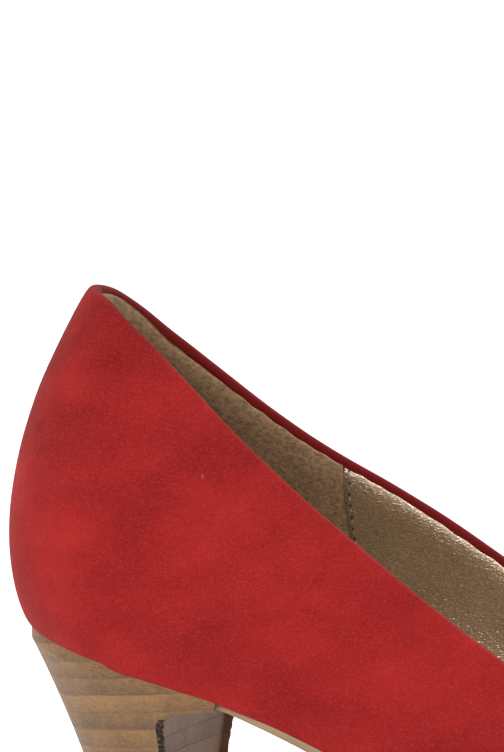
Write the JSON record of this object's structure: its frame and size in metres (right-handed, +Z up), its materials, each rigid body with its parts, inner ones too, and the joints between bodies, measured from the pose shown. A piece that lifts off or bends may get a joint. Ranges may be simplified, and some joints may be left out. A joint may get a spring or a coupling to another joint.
{
  "type": "high heel pump",
  "caption": "Closed court pump for the right foot: red suede upper, two-tone lining, thin sole and a flared stacked-look high heel.",
  "frame": {"origin": "middle of the shoe's length and width, at the floor it stands on", "axes": "+X from the heel to the toe, +Y to the inner (medial) side of the foot, +Z up; the shoe stands on its top lift and tread at z = 0"},
  "size_m": [0.243, 0.079, 0.1188],
  "materials": {
    "upper_suede": "red kid suede with a short nap",
    "white_textile": "woven reinforcing tape",
    "counter_board": "pressed leatherboard",
    "puff_textile": "resin-stiffened cotton",
    "grip_suede": "taupe suede, flesh side out",
    "lining_leather": "bronze foiled grain leather, soft sheen",
    "sock_leather": "bronze foiled grain leather, soft sheen",
    "latex_foam": "latex foam cushion",
    "insole_fibreboard": "cellulose insole board",
    "shank_fibreboard": "hard shank board",
    "spring_steel": "hardened strip, ground",
    "rivet_steel": "zinc plated",
    "filler_cork": "cork and binder",
    "sole_leather": "tan sole leather, waxed edge",
    "heel_plastic": "moulded, not painted",
    "heel_veneer": "stacked-look layered veneer, waxed",
    "breast_veneer": "stacked-look layered veneer, waxed, darker",
    "tube_steel": "rolled and plated",
    "lift_rubber": "hard wearing top piece, satin",
    "pin_steel": "bright drawn",
    "screw_steel": "zinc plated",
    "nail_steel": "plain drawn wire"
  },
  "bodies": {
    "root": {"upper": "upper_suede", "topline_tape": "white_textile", "heel_counter": "counter_board", "toe_puff": "puff_textile", "heel_grip": "grip_suede", "quarter_lining_outer": "lining_leather", "quarter_lining_inner": "lining_leather", "vamp_lining": "lining_leather", "sock_lining": "sock_leather", "heel_cushion": "latex_foam", "ball_cushion": "latex_foam", "insole_board": "insole_fibreboard", "shank_board": "shank_fibreboard", "steel_shank": "spring_steel", "shank_rivet_rear": "rivet_steel", "shank_rivet_front": "rivet_steel", "bottom_filler": "filler_cork", "outsole": "sole_leather", "heel_block": "heel_plastic", "heel_wrap": "heel_veneer", "heel_breast_cover": "breast_veneer", "heel_tube": "tube_steel", "top_lift": "lift_rubber", "top_lift_pin": "pin_steel", "heel_screw": "screw_steel", "heel_nail_1": "nail_steel", "heel_nail_2": "nail_steel", "heel_nail_3": "nail_steel", "heel_nail_4": "nail_steel"}
  },
  "joints": []
}
